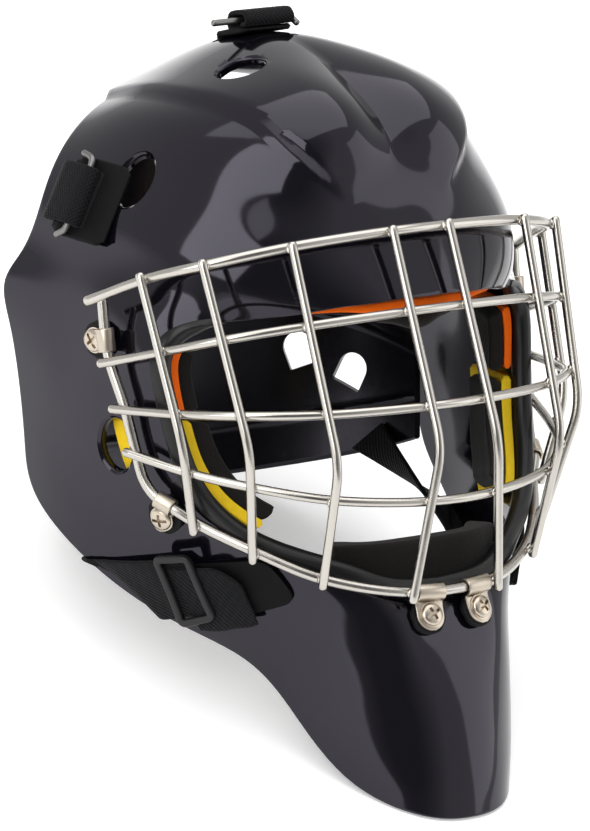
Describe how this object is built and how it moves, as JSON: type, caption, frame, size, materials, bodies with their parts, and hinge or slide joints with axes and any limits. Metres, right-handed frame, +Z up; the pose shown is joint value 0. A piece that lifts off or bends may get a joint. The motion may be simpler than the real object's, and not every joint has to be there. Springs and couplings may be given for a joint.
{
  "type": "goalie mask",
  "caption": "Hockey goalie mask: gloss black moulded shell with a welded wire cage on clips, foam padding, back plate and adjustable head and jaw straps.",
  "frame": {"origin": "middle of the footprint on the surface that the mask rests on, at the centre of the bounding box's base", "axes": "+Z up, the face and the cage look towards -Y and up, +X is the wearer's left; the mask lies back on its chin rim and the foot of its back plate"},
  "size_m": [0.2242, 0.3037, 0.2345],
  "materials": {
    "shell_gloss": "high gloss black clear coat",
    "plate_gloss": "gloss black moulded plastic",
    "cage_wire": "polished stainless wire",
    "welt_rubber": "satin black rubber",
    "clip_pad_rubber": "rough black rubber",
    "screw_metal": "nickel plated",
    "clip_metal": "nickel plated sheet",
    "liner_orange": "matt closed-cell foam",
    "liner_yellow": "matt closed-cell foam",
    "comfort_foam": "matt brushed fabric on foam",
    "hook_wire": "satin grey wire",
    "elastic_strap": "woven elastic",
    "jaw_webbing": "twill webbing",
    "anchor_band": "flat coated webbing",
    "buckle_plastic": "satin moulded plastic"
  },
  "bodies": {
    "root": {"back_plate": "plate_gloss", "brow_liner": "liner_orange", "brow_pad": "comfort_foam", "cage": "cage_wire", "chin_clip_left": "clip_metal", "chin_clip_pad_left": "clip_pad_rubber", "chin_clip_pad_right": "clip_pad_rubber", "chin_clip_right": "clip_metal", "chin_pad": "comfort_foam", "chin_screw_left": "screw_metal", "chin_screw_right": "screw_metal", "crown_strap": "elastic_strap", "crown_strap_hook": "hook_wire", "jaw_anchor_left": "anchor_band", "jaw_anchor_right": "anchor_band", "jaw_buckle_left": "buckle_plastic", "jaw_buckle_right": "buckle_plastic", "jaw_clip_left": "clip_metal", "jaw_clip_pad_left": "clip_pad_rubber", "jaw_clip_pad_right": "clip_pad_rubber", "jaw_clip_right": "clip_metal", "jaw_liner_left": "liner_yellow", "jaw_liner_right": "liner_yellow", "jaw_pad_left": "comfort_foam", "jaw_pad_right": "comfort_foam", "jaw_screw_left": "screw_metal", "jaw_screw_right": "screw_metal", "jaw_strap_left": "jaw_webbing", "jaw_strap_right": "jaw_webbing", "opening_welt": "welt_rubber", "shell": "shell_gloss", "side_strap_hook_left": "hook_wire", "side_strap_hook_right": "hook_wire", "side_strap_left": "elastic_strap", "side_strap_right": "elastic_strap", "temple_clip_left": "clip_metal", "temple_clip_pad_left": "clip_pad_rubber", "temple_clip_pad_right": "clip_pad_rubber", "temple_clip_right": "clip_metal", "temple_liner_left": "liner_orange", "temple_liner_right": "liner_orange", "temple_pad_left": "comfort_foam", "temple_pad_right": "comfort_foam", "temple_screw_left": "screw_metal", "temple_screw_right": "screw_metal"}
  },
  "joints": []
}
